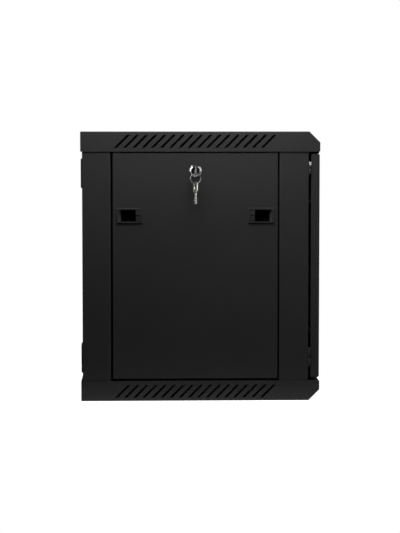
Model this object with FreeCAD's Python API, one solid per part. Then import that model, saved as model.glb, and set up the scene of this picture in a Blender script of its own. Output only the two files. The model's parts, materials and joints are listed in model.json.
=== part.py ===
import FreeCAD, Part
import math
import os

# Wall mount network cabinet of sheet steel, in millimetres.
# +X is the cabinet's right seen from its front, -Y its front and +Z up. The origin is the
# centre of the wall fixings: mid width, mid height, on the wall plane y = 0.
# A "depth" is a distance in front of the wall plane, so y = -depth. An "inset" is a
# distance inboard of the side plane of the body. Side pieces are drawn on the left and
# mirrored to the right.

# Overall
cabinet_width = 600.0
cabinet_height = 500.0
cabinet_depth = 443.0
cover_overhang = 1.5
fit_gap = 0.3

# Sheet steel
post_sheet = 1.5
cover_sheet = 1.2
panel_sheet = 1.2
rail_sheet = 2.0
bend_radius = 1.0
cover_edge_radius = 2.0

# Top and bottom covers
cover_skirt = 37.2
nose_chamfer = 20.0
nose_lip = 18.5
seat_lip_drop = 15.0
vent_count = 17
vent_pitch = 16.9
vent_width = 4.0
vent_rise = 24.0
vent_lean = 45.0
vent_from_edge = 18.0
fan_spacing_x = 200.0
fan_from_front = 208.0
fan_hole_spacing = 105.0
fan_hole_radius = 2.25
fan_opening_radius = 56.0
fan_slot_pitch = 10.0
fan_slot_width = 5.5
knockout_width = 250.0
knockout_length = 60.0
knockout_depth = 34.0
knockout_corner = 8.0
knockout_groove = 1.0
knockout_bridge = 6.0
screw_radius = 3.0
screw_head_radius = 5.0
screw_head_height = 3.0
screw_clearance = 0.3

# Posts
wall_standoff = 3.0
rear_post_depth = 55.5
rear_leg_width = 62.0
front_post_face = 54.7
front_leg_width = 56.0
front_leg_return = 17.0
seat_inset = 18.3
seat_lip_width = 20.0
end_tab_width = 40.0

# Wall fixing pads, pressed out of the rear posts
fixing_spacing_x = 530.0
fixing_spacing_z = 345.0
pad_width = 35.0
pad_height = 57.0
pad_taper = 2.0
pad_corner = 6.0
keyhole_radius = 6.0
keyhole_slot_radius = 3.25
keyhole_rise = 16.0

# Side braces and 19 inch mounting rails
rack_unit = 44.45
rack_margin = 95.0
rack_hole_pitch = 15.875
rack_hole_first = 6.35
rack_hole_size = 9.5
rack_opening = 450.0
rack_hole_margin = 7.55
brace_inset = 26.0
brace_width = 26.0
brace_height = 28.0
brace_slot_length = 90.0
brace_slot_margin = 10.0
rail_flange = 20.0
rail_leg = 45.0
rail_return = 10.0
rail_post_gap = 5.0
rail_tab_width = 25.0
nut_height = 5.0
nut_across_flats = 10.0

# Back panel
back_panel_overlap = 9.5
back_fold = 12.0
rear_entry_width = 300.0
rear_entry_height = 80.0
rear_entry_level = 120.0
rear_entry_corner = 12.0
trim_lip = 4.0
trim_wall = 1.4

# Side panels
panel_rear_gap = 3.8
panel_front_gap = 2.8
panel_top_gap = 2.0
panel_bottom_gap = 4.0
panel_fold = 18.0
panel_return = 10.0
panel_edge_radius = 1.6

# Cam locks
side_lock_drop = 33.6
door_lock_edge = 30.0
bezel_radius = 11.75
bezel_height = 3.0
bezel_rim = 3.6
bezel_bevel = 1.2
plug_radius = 6.0
plug_recess = 0.8
plug_face_thickness = 1.8
plug_clearance = 0.06
barrel_radius = 9.5
barrel_flat = 8.0
lock_cutter_reach = 5.0
barrel_length = 17.0
barrel_clearance = 0.2
lock_nut_height = 4.0
lock_nut_across_flats = 24.0
cam_gap = 0.5
cam_sheet = 2.0
cam_reach = 27.0
cam_width = 14.0
cam_square = 7.0
cam_screw_radius = 2.5
cam_screw_head = 4.5
cam_screw_head_height = 2.5
cam_screw_length = 4.0
door_cam_window_width = 30.0
door_cam_window_height = 84.0

# Keys
key_sheet = 2.0
key_blade_width = 7.0
key_blade_length = 21.0
key_blade_shown = 2.2
key_slot_clearance = 0.2
bow_length = 21.0
bow_width = 19.0
bow_corner = 7.0
bow_rim = 3.0
bow_hole_width = 11.0
ring_radius = 9.35
ring_wire_radius = 0.9
ring_clearance = 0.12
spare_key_turn = 20.0

# Slide latches of the side panels
latch_length = 48.0
latch_height = 28.8
latch_from_edge = 7.0
latch_drop = 116.2
latch_plate = 1.8
latch_box_depth = 10.0
latch_wall = 1.2
latch_outer_border = 4.0
latch_inner_border = 2.5
latch_rim = 3.6
scoop_length = 23.5
scoop_depth = 9.0
thumb_length = 10.2
thumb_hollow = 1.8
thumb_slit = 1.8
latch_travel = 7.5
latch_running_gap = 0.4
neck_height = 12.0
tongue_sheet = 2.8
tongue_height = 16.0
tongue_set_back = 0.5
tongue_slot_gap = 1.0
barb_height = 1.0
barb_bevel = 0.8
latch_rim_bevel = 0.8

# Door
door_setback = 0.5
door_thickness = 16.0
door_gap = 4.0
door_top_gap = 3.8
door_bottom_gap = 5.4
door_edge_radius = 3.5
door_return = 14.0
door_side_border = 60.0
door_top_border = 55.0
door_window_corner = 8.0
glass_thickness = 5.0
glass_overlap = 14.0
tape_thickness = 0.8
tape_width = 12.0

# Hinges
hinge_inset = 1.2
hinge_pin_radius = 1.5
hinge_knuckle_radius = 2.7
hinge_pin_clearance = 0.05
hinge_notch_gap = 0.4
hinge_leaf = 1.5
hinge_leaf_reach = 20.0
hinge_knuckle_gap = 0.3
hinge_head_radius = 2.6
hinge_head_height = 6.0
hinge_head_bevel = 0.8
upper_hinge_height = 17.0
upper_hinge_drop = 21.0
upper_door_knuckle = 8.0
lower_hinge_height = 36.0
lower_hinge_rise = 20.4
lower_door_knuckle = 21.2
hinge_screw_radius = 1.5
hinge_screw_head = 2.9

# Small hardware
bumper_radius = 5.0
bumper_gap = 0.3
bumper_inset = 9.0
bumper_bevel = 1.0
bumper_from_end = 89.0
stud_radius = 3.0
stud_height = 18.0
stud_from_side = 120.0
stud_depth = 60.0

# Places that follow from the sizes above
half_width = cabinet_width / 2
half_height = cabinet_height / 2
side_plane = half_width - cover_overhang
skirt_level = half_height - cover_skirt
plate_level = half_height - cover_sheet
post_level = plate_level - fit_gap
door_end = cabinet_depth - door_setback
door_start = door_end - door_thickness
front_post_depth = door_start - door_gap
front_post_start = front_post_depth - front_post_face
panel_start = rear_post_depth + panel_rear_gap
panel_end = front_post_start - panel_front_gap
fan_depth = cabinet_depth - fan_from_front
rack_units = int((cabinet_height - rack_margin) / rack_unit)
front_rail_depth = front_post_start - rail_post_gap
rear_rail_depth = rear_post_depth + rail_post_gap
brace_top = post_level - post_sheet - fit_gap
brace_low = brace_top - brace_height
panel_top = skirt_level - panel_top_gap
panel_bottom = -skirt_level + panel_bottom_gap
panel_middle = (panel_start + panel_end) / 2
latch_level = panel_top - latch_drop
door_top = skirt_level - door_top_gap
door_bottom = -skirt_level + door_bottom_gap
hinge_depth = (front_post_depth + door_start) / 2
side_lock_level = panel_top - side_lock_drop
side_cam_inset = seat_inset + cover_sheet + cam_gap
door_cam_inset = door_end - front_post_depth + post_sheet + cam_gap
door_lock_inset = door_lock_edge
parts = {}


def vector(x, y, z):
    return FreeCAD.Vector(x, y, z)


def block(across, depth, height):
    """Box between two x values, two depths and two z values."""
    origin = vector(across[0], -depth[1], height[0])
    return Part.makeBox(across[1] - across[0], depth[1] - depth[0], height[1] - height[0], origin)


def side_block(inset, depth, height):
    """Box on the left side, from two insets, two depths and two z values."""
    return block((inset[0] - side_plane, inset[1] - side_plane), depth, height)


def cylinder(radius, start, end):
    """Round bar between two points."""
    axis = end.sub(start)
    return Part.makeCylinder(radius, axis.Length, start, axis)


def hexagon(across_flats, height, start, axis):
    """Hexagonal prism that stands on the start point."""
    corner = across_flats / math.sqrt(3)
    ring = [vector(corner * math.cos(math.radians(60 * k)), corner * math.sin(math.radians(60 * k)), 0)
            for k in range(7)]
    prism = Part.Face(Part.makePolygon(ring)).extrude(vector(0, 0, height))
    prism.Placement = FreeCAD.Placement(start, FreeCAD.Rotation(vector(0, 0, 1), axis))
    return prism


def mirror_side(shape):
    return shape.mirror(vector(0, 0, 0), vector(1, 0, 0))


def mirror_level(shape):
    return shape.mirror(vector(0, 0, 0), vector(0, 0, 1))


def fuse_all(shapes):
    first = shapes[0]
    if len(shapes) == 1:
        return first
    return first.multiFuse(shapes[1:]).removeSplitter()


def save(node, shape):
    parts[node] = shape


def rounded_prism(width, length, height, radius):
    """Upright prism centred on the z axis, with four rounded vertical edges."""
    prism = Part.makeBox(width, length, height, vector(-width / 2, -length / 2, 0))
    upright = [edge for edge in prism.Edges if abs(edge.tangentAt(edge.FirstParameter).z) > 0.99]
    return prism.makeFillet(radius, upright)


def face_edges(shape, chosen):
    """Edges whose middle point passes the test."""
    return [edge for edge in shape.Edges if chosen(edge.CenterOfMass)]


def bent_strip(corners, sheet, height_low, height_high):
    """Sheet metal section, drawn as (inset, depth) corners of its right-hand-side surface.

    The metal lies to the right of the path, every bend has the same inner radius, and the
    section is extruded upright on the left side.
    """
    count = len(corners)
    headings = []
    for k in range(count - 1):
        step = (corners[k + 1][0] - corners[k][0], corners[k + 1][1] - corners[k][1])
        size = math.hypot(step[0], step[1])
        headings.append((step[0] / size, step[1] / size))
    shifted = []
    for k in range(count):
        before = headings[max(k - 1, 0)]
        after = headings[min(k, count - 2)]
        normal_before = (before[1], -before[0])
        normal_after = (after[1], -after[0])
        share = 1 + normal_before[0] * normal_after[0] + normal_before[1] * normal_after[1]
        shifted.append((corners[k][0] + sheet * (normal_before[0] + normal_after[0]) / share,
                        corners[k][1] + sheet * (normal_before[1] + normal_after[1]) / share))

    def bend_path(points, metal_side):
        edges = []
        last = points[0]
        for k in range(1, count - 1):
            turn = headings[k - 1][0] * headings[k][1] - headings[k - 1][1] * headings[k][0]
            inside = (turn < 0) == metal_side
            radius = bend_radius if inside else bend_radius + sheet
            corner = points[k]
            start = (corner[0] - radius * headings[k - 1][0], corner[1] - radius * headings[k - 1][1])
            end = (corner[0] + radius * headings[k][0], corner[1] + radius * headings[k][1])
            pull = radius * (1 - math.sqrt(0.5)) / math.sqrt(0.5)
            lean = (headings[k][0] - headings[k - 1][0], headings[k][1] - headings[k - 1][1])
            middle = (corner[0] + pull * lean[0] * math.sqrt(0.5),
                      corner[1] + pull * lean[1] * math.sqrt(0.5))
            edges.append(Part.makeLine(place(last), place(start)))
            edges.append(Part.Arc(place(start), place(middle), place(end)).toShape())
            last = end
        edges.append(Part.makeLine(place(last), place(points[-1])))
        return edges

    def place(point):
        return vector(point[0] - side_plane, -point[1], height_low)

    outline = bend_path(corners, False) + bend_path(shifted, True)
    outline.append(Part.makeLine(place(corners[0]), place(shifted[0])))
    outline.append(Part.makeLine(place(corners[-1]), place(shifted[-1])))
    wire = Part.Wire(Part.__sortEdges__(outline))
    return Part.Face(wire).extrude(vector(0, 0, height_high - height_low))


# Covers

def cover_prism(inset, lip):
    """Side profile of a cover with its chamfered nose, extruded across the cabinet.

    With an inset it is the hollow inside the sheet, which leaves the lip under the nose.
    """
    slope = inset * math.tan(math.radians(22.5))
    top = half_height - inset
    front = cabinet_depth - inset
    low = skirt_level
    profile = [(inset, low), (inset, top), (cabinet_depth - nose_chamfer - slope, top),
               (front, half_height - nose_chamfer - slope)]
    if lip:
        profile += [(front, low + inset), (cabinet_depth - nose_lip, low + inset),
                    (cabinet_depth - nose_lip, low)]
    else:
        profile += [(front, low)]
    reach = half_width - inset
    points = [vector(-reach, -depth, level) for depth, level in profile]
    points.append(points[0])
    return Part.Face(Part.makePolygon(points)).extrude(vector(2 * reach, 0, 0))


def vent_row(toward):
    """Leaning vent slots, as cutters through both side skirts.

    Their upper ends lean towards the front where toward is 1, and towards the wall at -1.
    """
    lean = toward * vent_rise * math.tan(math.radians(vent_lean)) / 2
    half = vent_width / math.cos(math.radians(vent_lean)) / 2
    middle = half_height - vent_from_edge
    low = middle - vent_rise / 2
    high = middle + vent_rise / 2
    cutters = []
    for k in range(vent_count):
        centre = panel_middle + (k - (vent_count - 1) / 2) * vent_pitch
        ends = [(centre - lean - half, low), (centre - lean + half, low),
                (centre + lean + half, high), (centre + lean - half, high)]
        points = [vector(-half_width - 1, -depth, level) for depth, level in ends]
        points.append(points[0])
        cutters.append(Part.Face(Part.makePolygon(points)).extrude(vector(cabinet_width + 2, 0, 0)))
    return cutters


def fan_cutters():
    """Two round fields of straight slots, each with its four fan screw holes."""
    cutters = []
    low = plate_level - 1
    high = half_height + 1
    rows = int(2 * fan_opening_radius / fan_slot_pitch)
    for side in (-1, 1):
        middle = side * fan_spacing_x / 2
        for k in range(rows):
            across = (k - (rows - 1) / 2) * fan_slot_pitch
            reach = math.sqrt(fan_opening_radius ** 2 - across ** 2)
            half = fan_slot_width / 2
            for end in (-1, 1):
                near = fan_depth + end * fan_slot_width / 2
                far = fan_depth + end * reach
                depths = (min(near, far), max(near, far))
                cutters.append(block((middle + across - half, middle + across + half), depths, (low, high)))
        for sx in (-1, 1):
            for sy in (-1, 1):
                x = middle + sx * fan_hole_spacing / 2
                y = -fan_depth + sy * fan_hole_spacing / 2
                cutters.append(cylinder(fan_hole_radius, vector(x, y, low), vector(x, y, high)))
    return cutters


def knockout_cutter():
    """Groove round the cable entry blank, broken by the bridges that hold it."""
    outer = rounded_prism(knockout_width, knockout_length, cover_sheet + 2, knockout_corner)
    inner = rounded_prism(knockout_width - 2 * knockout_groove, knockout_length - 2 * knockout_groove,
                          cover_sheet + 2, knockout_corner - knockout_groove)
    groove = outer.cut(inner)
    for x in (-knockout_width / 4, knockout_width / 4):
        groove = groove.cut(Part.makeBox(knockout_bridge, knockout_length + 2, cover_sheet + 2,
                                         vector(x - knockout_bridge / 2, -knockout_length / 2 - 1, 0)))
    groove = groove.cut(Part.makeBox(knockout_width + 2, knockout_bridge, cover_sheet + 2,
                                     vector(-knockout_width / 2 - 1, -knockout_bridge / 2, 0)))
    groove.translate(vector(0, -knockout_depth - knockout_length / 2, plate_level - 1))
    return groove


def post_screw_places():
    """Screws that hold each post's end tab to a cover: (x, depth), left and right."""
    rear = (end_tab_width / 2, wall_standoff + (rear_post_depth - wall_standoff) / 2)
    front = (end_tab_width / 2, (front_post_start + front_post_depth) / 2)
    return [(side * (side_plane - inset), depth) for side in (-1, 1) for inset, depth in (rear, front)]


def cover(with_fans, vents_toward):
    """Top cover with its skirts, nose, seat lips, vents and holes."""
    shell = cover_prism(0, False)
    rounded = face_edges(shell, lambda c: c.z > skirt_level + 1 and not (
        abs(c.x) > half_width - 1 and c.z < half_height - nose_chamfer - 1))
    shell = shell.makeFillet(cover_edge_radius, rounded)
    nose_low = face_edges(shell, lambda c: abs(c.z - skirt_level) < 0.01 and c.y < 1 - cabinet_depth)
    shell = shell.makeFillet(cover_edge_radius, nose_low)
    shell = shell.cut(cover_prism(cover_sheet, True))
    lips = []
    lip_depths = (rear_post_depth + seat_lip_width + fit_gap, front_post_start - seat_lip_width - fit_gap)
    ledge = side_block((cover_sheet - cover_overhang - fit_gap, seat_inset + cover_sheet), lip_depths,
                       (skirt_level, skirt_level + cover_sheet))
    drop = side_block((seat_inset, seat_inset + cover_sheet), lip_depths,
                      (skirt_level - seat_lip_drop, skirt_level + cover_sheet))
    lips += [ledge, drop, mirror_side(ledge), mirror_side(drop)]
    shell = fuse_all([shell] + lips)
    cutters = vent_row(vents_toward) + [knockout_cutter()]
    for x, depth in post_screw_places():
        cutters.append(cylinder(screw_radius + screw_clearance, vector(x, -depth, plate_level - 1),
                                vector(x, -depth, half_height + 1)))
    if with_fans:
        cutters += fan_cutters()
    return shell.cut(cutters)


# Posts

def end_tabs(inset, depth):
    """Flat tabs that close both ends of a post against the covers."""
    tabs = []
    for level in (post_level - post_sheet, -post_level):
        tabs.append(side_block(inset, depth, (level, level + post_sheet)))
    return tabs


def tab_holes(depth):
    x = end_tab_width / 2 - side_plane
    return cylinder(screw_radius + screw_clearance, vector(x, -depth, -plate_level - 1),
                    vector(x, -depth, plate_level + 1))


def tongue_window(depth_low, depth_high):
    """Slot in a post's web that a slide latch's tongue enters."""
    low = panel_sheet_to_tongue()
    return side_block((low - tongue_slot_gap, low + tongue_sheet + tongue_slot_gap), (depth_low, depth_high),
                      (latch_level - tongue_height / 2 - tongue_slot_gap,
                       latch_level + tongue_height / 2 + tongue_slot_gap))


def panel_sheet_to_tongue():
    """Inset of the outer face of a latch tongue."""
    return latch_box_depth + latch_running_gap


def fixing_pad(level):
    """Pressed-out pad as a solid frustum whose flat face lies on the wall plane."""
    def outline(grow, depth):
        width = pad_width - 2 * pad_taper + 2 * grow
        height = pad_height - 2 * pad_taper + 2 * grow
        prism = rounded_prism(width, height, 1, pad_corner)
        base = min(prism.Faces, key=lambda face: face.CenterOfMass.z)
        section = base.OuterWire
        section.rotate(vector(0, 0, 0), vector(1, 0, 0), 90)
        section.translate(vector(-fixing_spacing_x / 2, -depth, level))
        return section

    outer = Part.makeLoft([outline(0, 0), outline(pad_taper, wall_standoff)], True)
    inner = Part.makeLoft([outline(0, post_sheet), outline(pad_taper, wall_standoff + post_sheet)], True)
    return outer, inner


def keyhole(level):
    """Round entry for a screw head with a narrow slot rising from it."""
    x = -fixing_spacing_x / 2
    reach = wall_standoff + post_sheet + 2
    entry = cylinder(keyhole_radius, vector(x, 1, level), vector(x, -reach, level))
    top = cylinder(keyhole_slot_radius, vector(x, 1, level + keyhole_rise),
                   vector(x, -reach, level + keyhole_rise))
    neck = block((x - keyhole_slot_radius, x + keyhole_slot_radius), (-1, reach),
                 (level, level + keyhole_rise))
    return [entry, top, neck]


def rear_post():
    corners = [(rear_leg_width, wall_standoff), (0, wall_standoff), (0, rear_post_depth),
               (seat_inset, rear_post_depth), (seat_inset, rear_post_depth + seat_lip_width)]
    post = bent_strip(corners, post_sheet, -post_level, post_level)
    tabs = end_tabs((post_sheet, end_tab_width), (wall_standoff + post_sheet, rear_post_depth - post_sheet))
    pads = [fixing_pad(side * fixing_spacing_z / 2) for side in (-1, 1)]
    post = fuse_all([post] + tabs + [outer for outer, inner in pads])
    cutters = [inner for outer, inner in pads]
    for side in (-1, 1):
        cutters += keyhole(side * fixing_spacing_z / 2)
    cutters.append(tongue_window(rear_post_depth - post_sheet - 1, rear_post_depth + 1))
    cutters.append(tab_holes(wall_standoff + (rear_post_depth - wall_standoff) / 2))
    cutters += back_screw_holes()
    return post.cut(cutters)


def hinges():
    """Each hinge's foot, knuckle joint, top and pin head height."""
    upper = door_top - upper_hinge_drop
    lower = door_bottom + lower_hinge_rise + lower_hinge_height
    return ((upper - upper_hinge_height, upper - upper_door_knuckle, upper, hinge_head_height),
            (lower - lower_hinge_height, lower - lower_door_knuckle, lower, 0))


def hinge_axis_point(level):
    return vector(hinge_inset - side_plane, -hinge_depth, level)


def hinge_notch(hinge):
    """Round clearance about a hinge axis, over the hinge's height."""
    foot, joint, top, head = hinge
    radius = hinge_knuckle_radius + hinge_notch_gap
    return cylinder(radius, hinge_axis_point(foot - hinge_notch_gap), hinge_axis_point(top + head + hinge_notch_gap))


def front_post():
    corners = [(seat_inset, front_post_start - seat_lip_width), (seat_inset, front_post_start),
               (0, front_post_start), (0, front_post_depth), (front_leg_width, front_post_depth),
               (front_leg_width, front_post_depth - front_leg_return)]
    post = bent_strip(corners, post_sheet, -post_level, post_level)
    tabs = end_tabs((post_sheet, end_tab_width), (front_post_start + post_sheet, front_post_depth - post_sheet))
    post = fuse_all([post] + tabs)
    window_middle = door_lock_inset
    cutters = [side_block((window_middle - door_cam_window_width / 2, window_middle + door_cam_window_width / 2),
                          (front_post_depth - post_sheet - 1, front_post_depth + 1),
                          (-door_cam_window_height / 2, door_cam_window_height / 2))]
    cutters.append(tongue_window(front_post_start - 1, front_post_start + post_sheet + 1))
    cutters.append(tab_holes((front_post_start + front_post_depth) / 2))
    for hinge in hinges():
        cutters.append(hinge_notch(hinge))
        for level in hinge_screw_levels(hinge):
            cutters.append(hinge_screw_bore(level, front_post_depth - post_sheet - 1, front_post_depth + 1))
    return post.cut(cutters)


# Back panel

def back_screw_places():
    """Heights of the screws along each side of the back panel."""
    reach = plate_level - fixing_spacing_z / 2
    return (-plate_level + reach / 2, 0, plate_level - reach / 2)


def back_screw_inset():
    return rear_leg_width - back_panel_overlap / 2


def back_screw_holes():
    x = back_screw_inset() - side_plane
    return [cylinder(cam_screw_radius, vector(x, 0, level), vector(x, -wall_standoff - 2 * post_sheet, level))
            for level in back_screw_places()]


def rear_entry(grow, depths):
    """Rounded window of the rear cable entry, grown by an amount, between two depths."""
    prism = rounded_prism(rear_entry_width + 2 * grow, rear_entry_height + 2 * grow, depths[1] - depths[0],
                          rear_entry_corner + grow)
    prism.rotate(vector(0, 0, 0), vector(1, 0, 0), 90)
    prism.translate(vector(0, -depths[0], rear_entry_level))
    return prism


def back_panel():
    reach = side_plane - rear_leg_width + back_panel_overlap
    start = wall_standoff + post_sheet
    plate = block((-reach, reach), (start, start + cover_sheet), (-plate_level, plate_level))
    folds = []
    for level in (plate_level - cover_sheet, -plate_level):
        folds.append(block((-reach, reach), (start, start + back_fold), (level, level + cover_sheet)))
    panel = fuse_all([plate] + folds)
    cutters = [rear_entry(0, (start - 1, start + cover_sheet + 1))]
    for level in back_screw_places():
        for side in (-1, 1):
            x = side * (side_plane - back_screw_inset())
            cutters.append(cylinder(cam_screw_radius, vector(x, -start + 1, level),
                                    vector(x, -start - cover_sheet - 1, level)))
    return panel.cut(cutters)


def rear_entry_trim():
    """Edge strip with a U section round the rear cable entry."""
    start = wall_standoff + post_sheet
    outer = rear_entry(trim_lip, (start - trim_wall, start + cover_sheet + trim_wall))
    slot = rear_entry(trim_lip + 1, (start, start + cover_sheet)).cut(rear_entry(0, (start, start + cover_sheet)))
    bore = rear_entry(-trim_wall, (start - trim_wall - 1, start + cover_sheet + trim_wall + 1))
    return outer.cut([slot, bore])


def round_screw(radius, head_radius, head_height, head_base, tip):
    """Screw whose head stands on head_base, away from its tip."""
    back = head_base.sub(tip)
    back.normalize()
    shank = cylinder(radius, tip, head_base)
    head = cylinder(head_radius, head_base, head_base.add(back.multiply(head_height)))
    return shank.fuse(head).removeSplitter()


def back_screws():
    screws = []
    inside = wall_standoff + post_sheet + cover_sheet
    for level in back_screw_places():
        for side in (-1, 1):
            x = side * (side_plane - back_screw_inset())
            screws.append(round_screw(cam_screw_radius, cam_screw_head, cam_screw_head_height,
                                      vector(x, -inside, level), vector(x, -wall_standoff, level)))
    return Part.makeCompound(screws)


def frame_screws():
    """Screws from inside, through the posts' end tabs into the covers."""
    screws = []
    for x, depth in post_screw_places():
        for side in (-1, 1):
            base = vector(x, -depth, side * (post_level - post_sheet))
            tip = vector(x, -depth, side * half_height)
            screws.append(round_screw(screw_radius, screw_head_radius, screw_head_height, base, tip))
    return Part.makeCompound(screws)


# Braces and rails

def brace():
    """Upper left brace: an angle between the rear and front posts, behind the cover's vents.

    Its shelf is at the foot of its upright leg and is slotted for the rails' bolts.
    """
    depths = (wall_standoff + post_sheet, front_post_depth - post_sheet)
    insets = (brace_inset, brace_inset + brace_width)
    levels = (brace_low, brace_top)
    leg = side_block((brace_inset, brace_inset + post_sheet), depths, levels)
    shelf = side_block(insets, depths, (brace_low, brace_low + post_sheet))
    rear_tab = side_block(insets, (depths[0], depths[0] + post_sheet), levels)
    front_tab = side_block(insets, (depths[1] - post_sheet, depths[1]), levels)
    angle = fuse_all([leg, shelf, rear_tab, front_tab])
    cutters = []
    half = screw_radius + screw_clearance
    inset = rail_bolt_inset()
    through = (brace_low - post_sheet, brace_low + 2 * post_sheet)
    for middle, toward in ((rail_bolt_depths()[0], -1), (rail_bolt_depths()[1], 1)):
        ends = sorted((middle - toward * brace_slot_margin,
                       middle + toward * (brace_slot_length - brace_slot_margin)))
        cutters.append(side_block((inset - half, inset + half), ends, through))
        for end in ends:
            x = inset - side_plane
            cutters.append(cylinder(half, vector(x, -end, through[0]), vector(x, -end, through[1])))
    return angle.cut(cutters)


def rail_inset():
    """Inset of the outer face of a rail's side leg."""
    return side_plane - rack_opening / 2 - rail_flange


def rail_bolt_inset():
    return rail_inset() - rail_tab_width / 2


def rail_bolt_depths():
    """Depths of the front and rear rails' bolts."""
    return (front_rail_depth - rail_leg / 2, rear_rail_depth + rail_leg / 2)


def rail(front):
    """Left mounting rail with square holes in the standard rack pattern."""
    inset = rail_inset()
    face = front_rail_depth if front else rear_rail_depth
    back = face - rail_leg if front else face + rail_leg
    top = brace_low
    corners = [(inset + rail_return, back), (inset, back), (inset, face), (inset + rail_flange, face)]
    if not front:
        corners.reverse()
    strip = bent_strip(corners, rail_sheet, -top, top)
    low = min(face, back) + rail_sheet + bend_radius
    high = max(face, back) - rail_sheet - bend_radius
    tabs = []
    for level in (top - rail_sheet, -top):
        tabs.append(side_block((inset - rail_tab_width, inset + rail_sheet), (low, high),
                               (level, level + rail_sheet)))
    strip = fuse_all([strip] + tabs)
    depth = rail_bolt_depths()[0 if front else 1]
    point = vector(rail_bolt_inset() - side_plane, -depth, -top - 1)
    cutters = [cylinder(screw_radius + screw_clearance, point, point.add(vector(0, 0, 2 * top + 2)))]
    half = rack_hole_size / 2
    hole_x = -rack_opening / 2 - rack_hole_margin
    for unit in range(rack_units):
        for k in range(3):
            level = (unit - rack_units / 2) * rack_unit + rack_hole_first + k * rack_hole_pitch
            cutters.append(block((hole_x - half, hole_x + half), (face - rail_sheet - 1, face + rail_sheet + 1),
                                 (level - half, level + half)))
    return strip.cut(cutters)


def rail_bolts():
    """Hexagon bolts through the rails' end tabs and the braces, heads towards the middle."""
    bolts = []
    head_level = brace_low - rail_sheet
    for side in (-1, 1):
        for depth in rail_bolt_depths():
            x = side * (side_plane - rail_bolt_inset())
            for up in (-1, 1):
                start = vector(x, -depth, up * head_level)
                shank = cylinder(screw_radius, start, vector(x, -depth, up * (brace_low + post_sheet + nut_height + 1)))
                head = hexagon(nut_across_flats, nut_height - 1, start, vector(0, 0, -up))
                bolts.append(shank.fuse(head).removeSplitter())
    return Part.makeCompound(bolts)


def rail_nuts():
    nuts = []
    for side in (-1, 1):
        for depth in rail_bolt_depths():
            x = side * (side_plane - rail_bolt_inset())
            for up in (-1, 1):
                start = vector(x, -depth, up * (brace_low + post_sheet))
                nut = hexagon(nut_across_flats, nut_height, start, vector(0, 0, up))
                bore = cylinder(screw_radius, start, start.add(vector(0, 0, up * (nut_height + 1))))
                nuts.append(nut.cut(bore))
    return Part.makeCompound(nuts)


# Side panel and its latches

def lock_hole(clearance):
    """Double-D opening for a lock barrel, as a cutter along x about the origin."""
    radius = barrel_radius + clearance
    hole = cylinder(radius, vector(-lock_cutter_reach, 0, 0), vector(lock_cutter_reach, 0, 0))
    flats = Part.makeBox(2 * lock_cutter_reach, 2 * (barrel_flat + clearance), 2 * radius,
                         vector(-lock_cutter_reach, -barrel_flat - clearance, -radius))
    return hole.common(flats)


def at_rear_latch(along, inset, level):
    """Left rear latch's own place: along runs from its outer end towards the panel's middle."""
    return vector(inset - side_plane, -(panel_start + latch_from_edge + along), latch_level + level)


def latch_block(along, inset, level):
    low = at_rear_latch(along[1], inset[0], level[0])
    return Part.makeBox(inset[1] - inset[0], along[1] - along[0], level[1] - level[0], low)


def thumb_start():
    """Distance of the thumb block's outer face from the latch's outer end, at rest."""
    return latch_length - latch_inner_border - fit_gap - thumb_length


def latch_window():
    """Half height of the latch's window."""
    return latch_height / 2 - latch_rim


def latch_housing():
    """Plastic bezel with its box, the curved finger scoop and the slot for the thumb's neck."""
    half = latch_height / 2
    window = latch_window()
    plate = latch_block((0, latch_length), (-latch_plate, 0), (-half, half))
    rim = face_edges(plate, lambda c: c.x < -side_plane - latch_plate + 0.01)
    plate = plate.makeChamfer(latch_rim_bevel, rim)
    box_ends = (latch_outer_border - latch_wall, latch_length - latch_inner_border + latch_wall)
    box = latch_block(box_ends, (0, latch_box_depth), (-window - latch_wall, window + latch_wall))
    barbs = []
    for side in (-1, 1):
        edge = side * (window + latch_wall)
        levels = sorted((edge, edge + side * barb_height))
        barb = latch_block((latch_length / 3, 2 * latch_length / 3), (panel_sheet + fit_gap, 3 * barb_height + 1),
                           levels)
        lifted = face_edges(barb, lambda c: abs(c.z - latch_level - edge - side * barb_height) < 0.01 and
                            c.x > 3 * barb_height + 1 - side_plane - 0.01)
        barbs.append(barb.makeChamfer(barb_bevel * barb_height, lifted))
    housing = fuse_all([plate, box] + barbs)
    bottom = latch_outer_border + scoop_length
    fall = scoop_depth + latch_plate
    radius = (scoop_length ** 2 + fall ** 2) / (2 * fall)
    ends = [at_rear_latch(bottom, scoop_depth - radius, level) for level in (-window, window)]
    scoop = cylinder(radius, ends[0], ends[1])
    scoop = scoop.common(latch_block((latch_outer_border, bottom), (-latch_plate - 1, scoop_depth), (-window, window)))
    well = latch_block((bottom, latch_length - latch_inner_border), (-latch_plate - 1, scoop_depth),
                       (-window, window))
    under = latch_block((latch_outer_border, bottom), (panel_sheet, latch_box_depth + 1), (-window, window))
    under = under.cut(cylinder(radius + latch_wall, ends[0], ends[1]))
    slot = latch_block((thumb_start() + neck_side() - latch_travel - latch_running_gap,
                        thumb_start() + thumb_length - neck_side() + latch_running_gap),
                       (scoop_depth - 1, latch_box_depth + 1),
                       (-neck_height / 2 - latch_running_gap, neck_height / 2 + latch_running_gap))
    return housing.cut([scoop, well, under, slot])


def neck_side():
    """Step from the thumb block's face to its neck, on both sides."""
    return latch_inner_border - 1


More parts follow.
